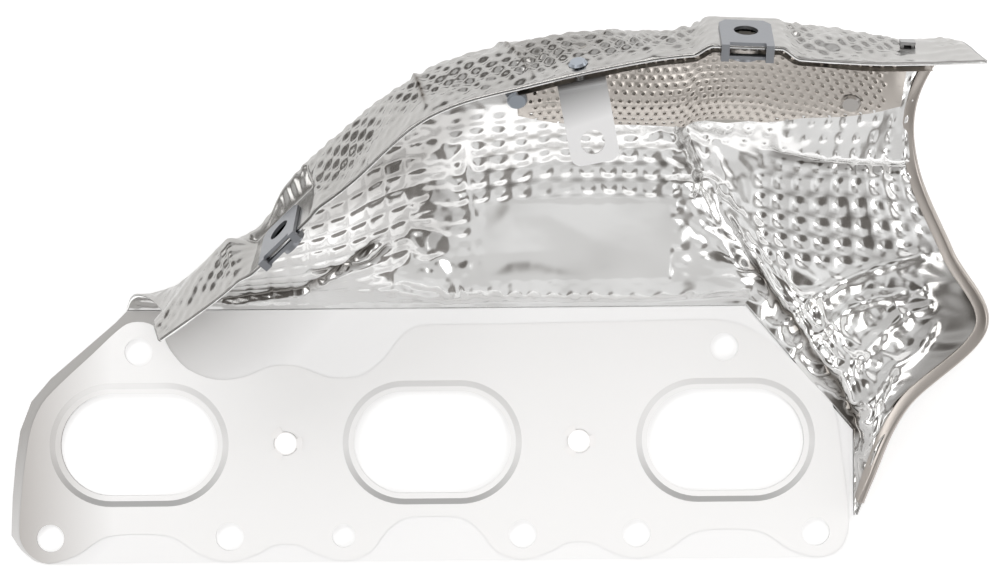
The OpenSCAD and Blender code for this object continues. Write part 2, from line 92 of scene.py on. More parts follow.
def spline(pts, x):
    """Catmull-Rom through pts at x, which counts points; works on (n, ..., 3)."""
    p = np.concatenate([[2 * pts[0] - pts[1]], pts, [2 * pts[-1] - pts[-2]]])
    i = np.clip(np.floor(x).astype(int), 0, len(pts) - 2)
    t = (x - i).reshape((-1,) + (1,) * (pts.ndim - 1))
    a, b, c, d = p[i], p[i + 1], p[i + 2], p[i + 3]
    return 0.5 * (2 * b + (c - a) * t + (2 * a - 5 * b + 4 * c - d) * t**2
                  + (3 * b - a - 3 * c + d) * t**3)


def straight(pts, x):
    """Straight lines through pts at x, which counts points."""
    i = np.clip(np.floor(x).astype(int), 0, len(pts) - 2)
    return pts[i] + (pts[i + 1] - pts[i]) * (x - i)[:, None]


def fold_out(u):
    """Direction in the plate's plane away from the gasket, square to the fold at u."""
    a = np.radians(49.8 * ease((u - 6.85) / 0.3) + 40.2 * ease((u - 8.8) / 0.4))
    return np.stack([np.sin(a), np.cos(a), 0 * a], -1)


def raw_grid(us, vs):
    """Points of the bare hood on the grid us x vs."""
    us, vs = np.atleast_1d(np.asarray(us, float)), np.atleast_1d(np.asarray(vs, float))
    fold = straight(FOLD, us)
    cols = np.stack([fold] + [spline(r, us) for r in ROWS])
    out = np.empty((len(us), len(vs), 3))
    up = vs >= 0
    out[:, up] = spline(cols, vs[up]).transpose(1, 0, 2)
    out[:, ~up] = fold[:, None] + 5 * vs[~up][None, :, None] * fold_out(us)[:, None]
    return out


def raw(u, v):
    """One point of the bare hood."""
    return raw_grid([u], [v])[0, 0]


def unit(a):
    """Vectors scaled to length 1."""
    return a / np.linalg.norm(a, axis=-1, keepdims=True)


# How far a clip nut's seat has its centre in from the mouth edge.
SEAT_IN = 9.5


def lip_at(u, lift, tilt):
    """Seat on the lip at u: its centre, along the edge, into the sheet, outward."""
    p, q, x = raw(u, 8), raw(u, 7.25), unit(raw(u + 0.3, 8) - raw(u - 0.3, 8))
    m = unit(np.cross(x, q - p))
    c, s = math.cos(math.radians(tilt)), math.sin(math.radians(tilt))
    y, n = c * np.cross(m, x) - s * m, c * m + s * np.cross(m, x)
    return p + SEAT_IN * y + lift * n, x, y, n


# Seats of the two clip nuts: station, lift in millimetres, tilt in degrees.
TOP_SEAT, LEFT_SEAT = lip_at(7.02, 2.5, 0), lip_at(1.84, -2, 18)


def press(p, s, w, length):
    """Points pressed flat onto seat s within half width w and half length, and how strongly."""
    a, b, h = (np.abs((p - s[0]) @ s[1]), np.abs((p - s[0]) @ s[2]), (p - s[0]) @ s[3])
    k = ease((w + 6 - a) / 6) * ease((length + 5 - b) / 5) * ease((14 - np.abs(h)) / 4)
    return p - (k * h)[..., None] * s[3], k


def hood_grid(us, vs):
    """Points, outward normals, and how much a nut's flat seat rules each point."""
    p = raw_grid(us, vs)
    lip = np.broadcast_to(ease((np.asarray(vs) - 5.4) * 8)[None, :], p.shape[:2])
    q, k1 = press(p, TOP_SEAT, 9.5, 12)
    q, k2 = press(q, LEFT_SEAT, 12, 10.5)
    p = p + (q - p) * lip[..., None]
    n = unit(np.cross(np.gradient(p, axis=1), np.gradient(p, axis=0)))
    return p, n, np.maximum(k1, k2) * lip


# ---------- seeded noise ----------
TABLE = rng.random((64, 64)) * 2 - 1
TABLE2 = rng.random((64, 64)) * 2 - 1


def noise(x, y, size, table=TABLE):
    """Smooth value noise between -1 and 1 with cells of that size."""
    x, y = x / size + 100, y / size + 100
    i, j = np.floor(x).astype(int), np.floor(y).astype(int)
    a, b = ease(x - i), ease(y - j)
    t = lambda m, n: table[m % 64, n % 64]
    return ((t(i, j) * (1 - a) + t(i + 1, j) * a) * (1 - b)
            + (t(i, j + 1) * (1 - a) + t(i + 1, j + 1) * a) * b)


def creased(x, y, size):
    """Crumpled-foil noise: ridges are sharp, and the facets between them nearly flat."""
    return (np.abs(noise(x, y, size)) + np.abs(noise(y + 31, x - 17, size * 0.8, TABLE2))) - 0.6


def box_mask(x, lo, hi, soft):
    """1 between lo and hi, fading to 0 over soft at both ends."""
    return ease((x - lo) / soft + 0.5) * ease((hi - x) / soft + 0.5)


def path_distance(x, y, path):
    """Distance from a polyline, signed (+ on its left), and how far along it, 0 to 1."""
    best = np.full(x.shape, 1e9)
    sign, along = np.zeros(x.shape), np.zeros(x.shape)
    total = len(path) - 1
    for i in range(total):
        (ax, ay), (bx, by) = path[i], path[i + 1]
        dx, dy = bx - ax, by - ay
        t = np.clip(((x - ax) * dx + (y - ay) * dy) / (dx * dx + dy * dy), 0, 1)
        d = np.hypot(x - ax - t * dx, y - ay - t * dy)
        near = d < best
        best = np.where(near, d, best)
        sign = np.where(near, np.sign(dx * (y - ay) - dy * (x - ax)), sign)
        along = np.where(near, (i + t) / total, along)
    return best * sign, along


# ---------- mesh helpers ----------
def add_mesh(name, verts, faces, material):
    """Smooth-shaded object from points in millimetres."""
    me = bpy.data.meshes.new(name)
    me.from_pydata([tuple(v) for v in np.asarray(verts, float) * MM], [], [tuple(f) for f in faces])
    me.validate()
    me.update()
    ob = bpy.data.objects.new(name, me)
    bpy.context.scene.collection.objects.link(ob)
    me.materials.append(material)
    me.polygons.foreach_set("use_smooth", [True] * len(me.polygons))
    return ob


def face_outwards(ob, weld=None):
    """Turns the faces one way, after welding points closer than weld metres."""
    bm = bmesh.new()
    bm.from_mesh(ob.data)
    if weld:
        bmesh.ops.remove_doubles(bm, verts=bm.verts, dist=weld)
    bmesh.ops.recalc_face_normals(bm, faces=bm.faces)
    bm.to_mesh(ob.data)
    bm.free()


def grid_faces(nu, nv, flip=False):
    """Quads of an nu x nv grid of points."""
    i, j = np.meshgrid(np.arange(nu - 1), np.arange(nv - 1), indexing="ij")
    a = (i * nv + j).ravel()
    f = np.stack([a, a + nv, a + nv + 1, a + 1], -1)
    return f[:, ::-1] if flip else f


# ---------- materials ----------
def add_bump(nt, bsdf, strength, scale, stretch):
    """Fine grain, or brush marks where stretch is uneven."""
    co = nt.nodes.new("ShaderNodeTexCoord")
    mp = nt.nodes.new("ShaderNodeMapping")
    mp.inputs["Scale"].default_value = stretch
    nz = nt.nodes.new("ShaderNodeTexNoise")
    nz.inputs["Scale"].default_value = scale
    nz.inputs["Detail"].default_value = 3
    bp = nt.nodes.new("ShaderNodeBump")
    bp.inputs["Strength"].default_value = strength
    bp.inputs["Distance"].default_value = 0.0002
    nt.links.new(co.outputs["Object"], mp.inputs["Vector"])
    nt.links.new(mp.outputs["Vector"], nz.inputs["Vector"])
    nt.links.new(nz.outputs["Fac"], bp.inputs["Height"])
    nt.links.new(bp.outputs["Normal"], bsdf.inputs["Normal"])


def add_painted_shade(nt, bsdf, color):
    """Colour darkened by the mesh's attribute of painted shade and painted light."""
    at = nt.nodes.new("ShaderNodeAttribute")
    at.attribute_name = "painted_shade"
    ramp = nt.nodes.new("ShaderNodeValToRGB")
    # Painted shade darkens the colour towards this dark brown.
    ramp.color_ramp.elements[0].color = (0.10, 0.085, 0.07, 1)
    ramp.color_ramp.elements[1].color = (*color, 1)
    nt.links.new(at.outputs["Fac"], ramp.inputs["Fac"])
    nt.links.new(ramp.outputs["Color"], bsdf.inputs["Base Color"])


def map_range(nt, source, lo, hi, start=0.0):
    """start to 1 as source goes from lo to hi."""
    mr = nt.nodes.new("ShaderNodeMapRange")
    mr.inputs["From Min"].default_value, mr.inputs["From Max"].default_value = lo, hi
    mr.inputs["To Min"].default_value = start
    nt.links.new(source, mr.inputs["Value"])
    return mr.outputs["Result"]


def add_ends(nt, bsdf, color, ends, reach, lean, slopes):
    """Colour ends at the left end, fading over reach, and painted shade on faces turned from Z and
    towards -Y.
    """
    co = nt.nodes.new("ShaderNodeTexCoord")
    across = nt.nodes.new("ShaderNodeVectorMath")
    across.operation = "DOT_PRODUCT"
    across.inputs[1].default_value = (1, lean, 0)
    nt.links.new(co.outputs["Object"], across.inputs[0])
    side = nt.nodes.new("ShaderNodeValToRGB")
    side.color_ramp.elements[0].color = (*ends, 1)
    side.color_ramp.elements[1].color = (*color, 1)
    nt.links.new(map_range(nt, across.outputs["Value"], *reach), side.inputs["Fac"])
    ge = nt.nodes.new("ShaderNodeNewGeometry")
    sz = nt.nodes.new("ShaderNodeSeparateXYZ")
    nt.links.new(ge.outputs["Normal"], sz.inputs[0])
    both = nt.nodes.new("ShaderNodeMath")
    both.operation = "MULTIPLY"
    # Painted shade: faces turned away from Z and towards -Y are darker.
    nt.links.new(map_range(nt, sz.outputs["Z"], 0.80, 0.995, 1 - slopes), both.inputs[0])
    nt.links.new(map_range(nt, sz.outputs["Y"], -0.35, -0.02, 1 - slopes), both.inputs[1])
    mul = nt.nodes.new("ShaderNodeVectorMath")
    mul.operation = "MULTIPLY"
    nt.links.new(side.outputs["Color"], mul.inputs[0])
    nt.links.new(both.outputs["Value"], mul.inputs[1])
    nt.links.new(mul.outputs["Vector"], bsdf.inputs["Base Color"])


def metal(name, color, rough, metallic=1.0, bump=0.0, bump_scale=300.0, brushed=None, with_painted_shade=False,
          ends=None, reach=(-0.13, -0.04), lean=0.0, slopes=0.0):
    """Metal look. Its flag for painted shade darkens it by the mesh's painted shade and light;
    ends: colour at the left end, fading over reach along a line that leans in Y; slopes: how
    strongly painted shade darkens faces turned away from Z and towards -Y."""
    m = bpy.data.materials.new(name)
    m.use_nodes = True
    bsdf = m.node_tree.nodes["Principled BSDF"]
    bsdf.inputs["Base Color"].default_value = (*color, 1)
    bsdf.inputs["Metallic"].default_value = metallic
    bsdf.inputs["Roughness"].default_value = rough
    if bump or brushed:
        add_bump(m.node_tree, bsdf, bump, bump_scale, brushed or (1, 1, 1))
    if with_painted_shade:
        add_painted_shade(m.node_tree, bsdf, color)
    if ends:
        add_ends(m.node_tree, bsdf, color, ends, reach, lean, slopes)
    return m


# Both foil sheets take painted shade and painted light from the mesh's attribute.
M_INNER = metal("bright_foil", (0.92, 0.92, 0.915), 0.15, with_painted_shade=True)
M_OUTER = metal("outer_sheet", (0.46, 0.455, 0.445), 0.22, with_painted_shade=True)
M_LINER = metal("perforated_stainless", (0.60, 0.56, 0.52), 0.30, bump=0.1, bump_scale=500)
# Front layers: darker towards the left end, and painted shade on faces turned from Z, which
# outlines their edges.
M_FRONT = metal("front_layer", (0.93, 0.927, 0.925), 0.42, metallic=0.12, bump=0.06, bump_scale=60,
                brushed=(1, 8, 1), ends=(0.44, 0.415, 0.395), reach=(-0.132, -0.098), slopes=0.5)
# Carrier: a painted shadow of the lip darkens its left end, and painted shade on faces turned from
# Z.
M_CARRIER = metal("carrier_plate", (0.94, 0.94, 0.943), 0.40, metallic=0.15, bump=0.08,
                  bump_scale=60, brushed=(1, 8, 1), ends=(0.42, 0.41, 0.40),
                  reach=(-0.13, -0.068), lean=-1.0, slopes=0.5)
M_EYELET = metal("eyelet_steel", (0.93, 0.92, 0.915), 0.4, metallic=0.15)
M_EDGE = metal("edge_strip", (0.45, 0.415, 0.385), 0.32, bump=0.1, bump_scale=400)
M_NUT = metal("blue_zinc", (0.27, 0.28, 0.30), 0.36, metallic=0.9, bump=0.15, bump_scale=900)
M_RIVET = metal("rivet_zinc", (0.34, 0.37, 0.41), 0.3, metallic=0.9)
M_STAINLESS = metal("rivet_stainless", (0.50, 0.48, 0.46), 0.3)
# Bracket: dark at its top end, a painted shadow under the lip.
M_BRACKET = metal("bracket_steel", (0.80, 0.80, 0.805), 0.42, metallic=0.4, bump=0.1,
                  bump_scale=700, ends=(0.10, 0.10, 0.10), reach=(-0.278, -0.235), lean=-3.0)
M_STAPLE = metal("staple_steel", (0.42, 0.42, 0.42), 0.35)
M_MAT = metal("mineral_mat", (0.42, 0.40, 0.37), 0.95, metallic=0.0, bump=0.6, bump_scale=900)

CAD_LOOK = {
    "front_bead_layer": M_FRONT, "carrier_layer": M_CARRIER, "rear_bead_layer": M_FRONT,
    "eyelet_left": M_EYELET, "eyelet_right": M_EYELET, "insulation_mat": M_MAT,
    "edge_binding": M_EDGE, "clip_nut_top": M_NUT, "clip_nut_left": M_NUT,
    "hanging_bracket": M_BRACKET, "bracket_rivet": M_RIVET, "liner_rivet_left": M_RIVET,
    "liner_rivet_right": M_STAINLESS, "edge_staple": M_STAPLE, "perforated_liner": M_LINER}
for node, material in CAD_LOOK.items():
    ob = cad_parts[node]
    ob.data.materials.clear()
    ob.data.materials.append(material)
    if node not in ("insulation_mat", "perforated_liner", "edge_binding"):
        soft = ob.modifiers.new("edges", "BEVEL")
        soft.width, soft.segments = (0.00018, 2) if "layer" not in node else (0.00012, 1)
        soft.limit_method, soft.angle_limit = "ANGLE", math.radians(35)

# ---------- hood sheets ----------
# About how far apart the stations and the guide rows lie, and the size of one quad.
STATION_MM = [19, 22, 25, 32, 35, 35, 27, 25, 25, 14, 14]
ROW_MM = [10, 12, 17, 17, 14, 14, 20, 27]
QUAD_MM = 0.72


def spaced(widths):
    """Parameters from 0 to len(widths), so that each width is cut into quads of one size."""
    parts = [np.linspace(i, i + 1, max(2, round(w / QUAD_MM)) + 1)[:-1]
             for i, w in enumerate(widths)]
    return np.concatenate([*parts, [len(widths)]])


US = spaced(STATION_MM)
VS = spaced(ROW_MM)
P, N, SEATED = hood_grid(US, VS)
U2, V2 = np.meshgrid(US, VS, indexing="ij")
X, Y = P[..., 0], P[..., 1]

# Emboss coordinates: A counts millimetres along the hood, B up its wall from the knee.
KNEE_V = 6.0
# Pitch of the embossed domes.
PITCH = 6.5


def run_along(v):
    """Millimetres run along the hood at row v, from its left end to each station of US."""
    d = np.linalg.norm(np.diff(raw_grid(US, [v])[:, 0], axis=0), axis=1)
    return np.concatenate([[0], np.cumsum(d)])


lip_share = ease((V2 - 5.6) / 1.0)
a_wall, a_lip = run_along(4.3), run_along(7.5)
centre = np.searchsorted(US, 5.0)
A = ((a_wall - a_wall[centre])[:, None] * (1 - lip_share)
     + (a_lip - a_lip[centre])[:, None] * lip_share)
CLIMB = np.concatenate([np.zeros((len(US), 1)),
                        np.cumsum(np.linalg.norm(np.diff(P, axis=1), axis=2), axis=1)], axis=1)
knee = np.array([np.interp(KNEE_V, VS, row) for row in CLIMB])
# Left of the fourth station the embossed rows slant down towards the end.
B = CLIMB - knee[:, None] - 9.0 * np.clip(4 - U2, 0, 4)

# Areas of the hood, each 1 inside and 0 outside.
ON_WALL = ease((6.1 - V2) / 0.3)
ON_LIP = ease((V2 - 6.6) / 0.4)
PATCH = box_mask(X, 15.5, 73.5, 2) * box_mask(Y, 49.5, 73.5, 2) * (V2 < 5)
QUILT = box_mask(X, 98, 149, 8) * box_mask(Y, 53, 84, 5) * (V2 < 6)
TAIL = ease((X - 100) / 12) * ease((54 - Y) / 8)
# The relief dies out at every edge of the sheet.
HEM = ease((8 - V2) / 0.07) * ease((11 - U2) / 0.3) * ease(V2 / 0.4) * ease((U2 + 0.02) / 0.12)
# The tail's right end is calmer than the rest of it.
CALM = 1 - 0.85 * ease((U2 - 9.9) / 0.5) * box_mask(V2, 1.4, 3.7, 0.6)
# The lip is bolder to the right, and plain at its right end.
BOLD = 1 + 0.5 * ease((U2 - 3.4) / 1.0)
PLAIN = ease((U2 - 9.4) / 0.4) * (1 - 0.35 * ease((U2 - 10.1) / 0.3))


def domes(a, b, pitch):
    """Square-set domes with valleys between them, 0 to 1."""
    return (np.cos(math.pi * a / pitch) * np.cos(math.pi * b / pitch)) ** 2


def pillows(a, b, pitch, groove):
    """Flat-topped squares parted by narrow grooves, 0 to 1."""
    da = (0.5 - np.abs(a / pitch - np.round(a / pitch))) * pitch
    db = (0.5 - np.abs(b / pitch - np.round(b / pitch))) * pitch
    return (1 - np.exp(-(da / groove) ** 2)) * (1 - np.exp(-(db / groove) ** 2))


def turned(a, b, degrees):
    """Coordinates a, b in a frame turned by that many degrees."""
    c, s = math.cos(math.radians(degrees)), math.sin(math.radians(degrees))
    return a * c + b * s, b * c - a * s


def groove(path, width, depth, start=0.08, end=0.08):
    """A crease cut along a path given in millimetres of the row frame; the sheet sinks by depth."""
    d, t = path_distance(X, Y, path)
    fade = ease(t / start + 0.3) * ease((1 - t) / end + 0.3)
    return -depth * np.exp(-(d / width) ** 2) * fade


def step(path, reach, height, sharp=0.5):
    """The sheet is raised on the path's left by height, falling away over reach."""
    d, t = path_distance(X, Y, path)
    fade = ease(t / 0.12) * ease((1 - t) / 0.12)
    return height * fade * ease(d / sharp + 0.5) * np.exp(-(np.maximum(d, 0) / reach) ** 2)


def lip_domes():
    """Low rhombic cushions, longer on the slant of the lip than across it, 0 to 1."""
    a, b = turned(A + 0.6 * noise(A, B, 11), B + 0.6 * noise(B, A, 9), -28)
    across, along = b * 1.05, a * 0.55
    turn = 2 * math.pi / 4.3
    return 0.5 + 0.25 * (np.cos(turn * (across + along)) + np.cos(turn * (across - along)))


def lip_darts():
    """Distances, in millimetres, from the two darts that let the lip follow its curve."""
    return (U2 - 4.0) * 30, (U2 - 4.7 - 0.3 * (V2 - 7)) * 33


def wall_pattern():
    """Embossing of the wall and the roof, where each area has its own pattern."""
    a = A + 0.7 * noise(A, B, 14)
    b = B + 0.7 * noise(A + 50, B, 14)
    wing = ease((6 - X) / 18) * ON_WALL
    middle = box_mask(X, 4, 86, 10) * ON_WALL
    above = ease((Y - 72) / 3)
    roof = ease((X - 76) / 10) * box_mask(V2, 4.95, 6.4, 0.6)
    h = QUILT * 0.85 * domes(a, b, PITCH)
    h = h + wing * 0.5 * pillows(a, b, PITCH, 0.95)
    h = h + middle * (1 - PATCH) * (0.42 + 0.3 * above) * domes(a, b, PITCH) + 0.45 * PATCH
    h = h + 0.55 * middle * np.cos(math.pi * a / PITCH) ** 2 * np.exp(-((V2 - 0.62) / 0.25) ** 2)
    h = h + TAIL * CALM * 0.45 * domes(a, b, PITCH)
    return h + roof * 0.7 * domes(a, b, PITCH) ** 4


def lip_pattern():
    """Cushions of the lip. Where the mat lies behind them they stand outwards only."""
    outwards = 0.15 + 0.6 * ease((U2 - 4.4) / 1.0)
    deep = 1.25 + 0.5 * ease((U2 - 4.6) / 0.8)
    cushions = (deep * (lip_domes() - outwards) + 0.25 * outwards) * (0.8 + 0.4 * noise(B, A, 12))
    near_crest = 0.35 + 0.65 * ease((7.85 - V2) / 0.3)
    return ON_LIP * BOLD * cushions * near_crest * (1 - PLAIN)


def crumples():
    """Crumpling that gathers right of the patch, in the tail and beside the left wing."""
    d, _ = path_distance(X, Y, [(74, 97), (81, 86), (92, 65), (102, 38), (118, 20), (131, 2)])
    gathered = np.exp(-(d / 9) ** 2) * (V2 < 6)
    between = np.exp(-((X + 1) / 9) ** 2) * ON_WALL
    liner_end = np.exp(-((U2 - 5.0) / 0.35) ** 2) * box_mask(V2, 5.0, 7.0, 0.3)
    rough = (0.2 + 1.05 * gathered + 0.7 * TAIL * CALM + 0.75 * between
             + 0.3 * ON_LIP * BOLD ** 2 * (1 - 0.7 * PLAIN))
    rough = rough * (1 - 0.9 * PATCH) * (1 - SEATED) * HEM * (1 - 0.75 * QUILT)
    rough = rough * (1 - 0.8 * liner_end)
    return rough * (0.95 * creased(A + 0.3 * B, B, 11) + 0.42 * creased(A, B + 0.4 * A, 5.6))


def relief():
    """Height of the embossing and creases towards the hood's inside, in millimetres."""
    uneven = 0.75 + 0.4 * noise(A, B, 21)
    h = (wall_pattern() + lip_pattern()) * uneven * (1 - SEATED) * HEM
    h = h + crumples()
    for d in lip_darts():
        h = h - ON_LIP * 0.9 * np.exp(-(d / 0.8) ** 2) * ease((7.9 - V2) / 0.15)
    waves = 0.45 * noise(A, B, 17) + 0.07 * noise(A, B, 3.1, TABLE2)
    h = h + (1 - SEATED) * (1 - 0.8 * PATCH) * HEM * waves
    return h + folds()


# The deep valley beside the gasket's slanting edge.
VALLEY = [(95, 56), (101, 47.5), (107, 39.5), (113, 31), (122.5, 17.5), (129, 6), (131.5, -2)]
# The crease along the left wing's foot and the fold beside it.
WING_CREASE = [(-65, 44.6), (-57, 45.6), (-39, 47.8), (-27, 53.6), (-14, 63.5)]
WING_FOLD = [(-37, 53), (-27, 54), (-18, 56.5), (-12, 61)]
# Creases of the tail: path, half width, depth.
FOLDS = [([(106, 33), (113, 41), (122, 47), (134, 52), (150, 57)], 1.9, 1.5),
         ([(110, 27), (120, 34), (128, 41), (139, 44), (150, 46)], 1.7, 1.3),
         ([(122, 16), (129, 24), (136, 31), (141, 38), (152, 41)], 1.7, 1.4),
         ([(127, 5), (134, 13), (140, 22), (147, 27), (151, 36)], 1.7, 1.3),
         ([(131, -3), (138, 6), (146, 14), (154, 20)], 1.5, 1.0)]


def folds():
    """The few large folds and steps that pressing left in the hood."""
    inside = ease(V2 / 0.3) * (V2 < 6)
    h = step([(101, 88.5), (119, 85), (145, 82.5)], 9, 1.5, 0.9)
    h = h + groove([(101, 88.2), (119, 84.3), (145, 82)], 1.2, 0.9)
    h = h + groove(WING_CREASE, 0.7, 1.2)
    h = h + step([(-14, 63), (-27, 53), (-39, 47), (-57, 45), (-65, 44)], 7, 1.0)
    h = h + groove(WING_FOLD, 0.8, 0.9)
    h = h + groove([(76, 95), (81, 86), (92, 65), (103, 38)], 2.6, 1.8)
    h = h + groove(VALLEY, 1.8, 1.7)
    for path, width, depth in FOLDS:
        h = h + groove([(x + 0.9 * math.sin(3 * y), y) for x, y in path], width, 0.85 * depth)
    h = h + groove([(12, 92), (11, 78), (13, 68)], 1.6, 0.6, 0.3, 0.3)
    h = h + groove([(15, 50), (24, 56.5), (31, 57), (39, 53.5), (48, 50.5)], 3.0, 0.26, 0.4, 0.4)
    h = h + groove([(17, 64), (25, 70), (36, 70), (46, 64), (52, 56)], 3.6, 0.3, 0.4, 0.4)
    return h * inside


H = relief()


def painted_shade_band(path, width, value):
    """Painted shade that is value on a path and 1 away from it."""
    d, t = path_distance(X, Y, path)
    fade = ease(t * 8 + 0.2) * ease((1 - t) * 8 + 0.2)
    return 1 - (1 - value) * np.exp(-(d / width) ** 2) * fade


def valley_shade():
    """Painted shade in the valleys of the right quilt and between the rows above the flat patch."""
    da = A / PITCH - 0.5 - np.round(A / PITCH - 0.5)
    db = B / PITCH - 0.5 - np.round(B / PITCH - 0.5)
    da, db = da * PITCH + 0.4 * noise(A, B, 9), db * PITCH + 0.4 * noise(B, A, 9)
    oval = np.exp(-((da / 2.3) ** 2 + (db / 1.15) ** 2) ** 2)
    quilt = box_mask(X, 100, 146, 6) * box_mask(Y, 56, 82, 5)
    rows = box_mask(X, 14, 84, 5) * box_mask(Y, 75, 94, 2)
    quilt_shade = 0.62 * quilt * ease(1.1 + noise(A, B, 13))
    row_shade = 0.6 * rows * ease(0.9 + noise(A, B, 15))
    return 1 - oval * (quilt_shade + row_shade)


# Painted shade along the wall's valley and creases: path, half width, shade value. The one on the
# wing's crease starts further left.
PAINTED_CREASE_SHADE = [(VALLEY, 1.7, 0.08), ([(88, 66), (91, 60), (95, 54)], 1.2, 0.5),
              ([(-68, 44.5), *WING_CREASE[1:]], 0.9, 0.15), (WING_FOLD, 0.8, 0.3),
              ([(101, 87), (119, 83.4), (143, 81)], 1.0, 0.3)]


def wall_painted_shade():
    """Painted shade of the wall and the roof."""
    t = np.ones(X.shape)
    for path, width, value in PAINTED_CREASE_SHADE:
        t = np.minimum(t, painted_shade_band(path, width, value))
    t = t * valley_shade()
    # Painted shade darkens the wing's upper corner under the lip.
    d, _ = path_distance(X, Y, [(-34, 72), (-14, 87), (10, 101)])
    t = t * (1 - 0.42 * ease((9 - np.abs(d)) / 4) * ease((17 - X) / 5) * (V2 > 3.5))
    # A patch of painted shade lies between the wing and the flat patch.
    patchy = ease(0.5 + 1.2 * noise(A, B, 7))
    spot = np.exp(-(((X + 4) / 15) ** 2 + ((Y - 74) / 17) ** 2) ** 2)
    t = t * (1 - 0.45 * spot * (0.6 + 0.4 * patchy))
    # A painted dark reflection dulls the tail and the right side of the wall.
    t = t * (1 - 0.5 * ease((U2 - 9.7) / 0.7) * box_mask(V2, 0.5, 3.9, 0.8))
    return t * (1 - 0.25 * ease((U2 - 8) / 2) * (V2 < 4.2))


def lip_painted_shade_and_light():
    """Painted shade between the lip's cushions and at its darts, and painted light at its right
    end.
    """
    t = 0.84 + 0.16 * lip_domes() + 0.1 * ease((U2 - 7) / 1.5) + 0.22 * ease((U2 - 9.4) / 0.8)
    first, second = lip_darts()
    t = t * (1 - 0.9 * np.exp(-(first / 0.6) ** 2) * box_mask(V2, 7.1, 7.75, 0.2))
    t = t * (1 - 0.6 * np.exp(-(second / 0.5) ** 2) * box_mask(V2, 7.0, 7.8, 0.2))
    return t * (1 - 0.28 * ease(second / 1.5) * ease((30 - second) / 14) * ease((7.8 - V2) / 0.3))


def painted_shading():
    """Painted shade and painted light of the foil, with a little random tone: 1 keeps its colour, 0
    is painted dark.
    """
    t = np.where(V2 < 6, wall_painted_shade(), np.minimum(lip_painted_shade_and_light(), 1.25))
    return t * (0.94 + 0.06 * noise(A, B, 9))


# Painted shade and light of each point of the hood grid.
PAINTED_SHADING = painted_shading()


# Height at which the inner sheet's foot lies, just above the carrier plate.
FOOT_Z = 1.72
# How far the inner sheet's foot reaches over the plate, in from the fold.
FOOT_IN = 0.9
# Radius of the hole left in the sheets under a clip nut.
NUT_HOLE_R = 4.4


def hood_sheet(name, offset, rim, material, flip):
    """One face of a sheet at that offset, with its edges turned towards rim."""
    q = P + N * (offset - H)[..., None]
    if offset < 0:
        # The inner sheet's foot lies on the plate's margin, just inside the fold.
        foot = straight(FOLD, US) - FOOT_IN * fold_out(US)
        foot[:, 2] = FOOT_Z
        for j in range(3):
            q[:, j] = foot * (1 - j / 3) + q[:, 3] * (j / 3)
    nu, nv = q.shape[:2]
    verts = q.reshape(-1, 3)
    faces = grid_faces(nu, nv, flip)
    border = ([i * nv for i in range(nu)], [(nu - 1) * nv + j for j in range(nv)],
              [i * nv + nv - 1 for i in reversed(range(nu))], [j for j in reversed(range(nv))])
    loop = [k for part in border for k in part[:-1]]
    back = verts[loop] + N.reshape(-1, 3)[loop] * rim
    base, n = len(verts), len(loop)
    strip = [(loop[k], base + k, base + (k + 1) % n, loop[(k + 1) % n]) for k in range(n)]
    if flip:
        strip = [s[::-1] for s in strip]
    keep = ~near_nut_holes(verts)
    faces = faces[keep[faces].all(axis=1)]
    verts = np.concatenate([verts, back])
    ob = add_mesh(name, verts, [*map(tuple, faces), *strip], material)
    # Each sheet carries the painted shade and light as a point attribute.
    painted_shade = np.concatenate([PAINTED_SHADING.ravel(), PAINTED_SHADING.ravel()[loop]])
    layer = ob.data.attributes.new("painted_shade", "FLOAT", "POINT")
    layer.data.foreach_set("value", painted_shade.astype(np.float32))
    return ob


def near_nut_holes(verts):
    """Which points lie within the holes under the clip nuts."""
    bad = np.zeros(len(verts), bool)
    for s in (TOP_SEAT, LEFT_SEAT):
        d = verts - (s[0] - 0.5 * s[2])
        bad |= (np.hypot(d @ s[1], d @ s[2]) < NUT_HOLE_R) & (np.abs(d @ s[3]) < 3)
    return bad


inner = hood_sheet("inner_sheet", INNER, 0.45, M_INNER, False)
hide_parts("shield_inner_sheet")
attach(inner, "gasket")
outer = hood_sheet("outer_sheet", SHEET, -0.45, M_OUTER, True)
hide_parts("shield_outer_sheet")
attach(outer, "gasket")

# ---------- perforated liner ----------
LIP_RUN = run_along(6.6)


def sample(field, u, v):
    """Bilinear reading of a field on the US x VS grid."""
    i = np.clip(np.searchsorted(US, u) - 1, 0, len(US) - 2)
    j = np.clip(np.searchsorted(VS, v) - 1, 0, len(VS) - 2)
    a = ((u - US[i]) / (US[i + 1] - US[i]))[:, None]
    b = ((v - VS[j]) / (VS[j + 1] - VS[j]))[:, None]
    return ((field[i, j] * (1 - a) + field[i + 1, j] * a) * (1 - b)
            + (field[i, j + 1] * (1 - a) + field[i + 1, j + 1] * a) * b)


def down_from_mouth(u, s):
    """The v that lies s millimetres down the sheet from the mouth edge at u."""
    i = np.clip(np.searchsorted(US, u) - 1, 0, len(US) - 2)
    a = (u - US[i]) / (US[i + 1] - US[i])
    rows = CLIMB[i] * (1 - a)[:, None] + CLIMB[i + 1] * a[:, None]
    want = rows[:, -1] - s
    j = np.clip((rows < want[:, None]).sum(axis=1), 1, len(VS) - 1)
    r0, r1 = rows[np.arange(len(u)), j - 1], rows[np.arange(len(u)), j]
    return VS[j - 1] + (VS[j] - VS[j - 1]) * np.clip((want - r0) / (r1 - r0), 0, 1)


# The liner's curved lower edge: row V at station U.
LINER_U = [4.7, 4.9, 5.1, 5.4, 6.6, 7, 7.5, 8, 8.7, 9.4, 10.3]
LINER_V = [5.85, 5.6, 5.4, 5.3, 5.3, 5.45, 5.7, 5.85, 5.86, 5.9, 5.95]
# Rings round a punched hole: radius, and height out of the liner.
RIM = [(0.74, 0.0), (0.62, 0.10), (0.54, -0.10), (0.52, -0.45)]
# How far the liner's left end is turned in towards the inner sheet.
LINER_HEM = 1.7


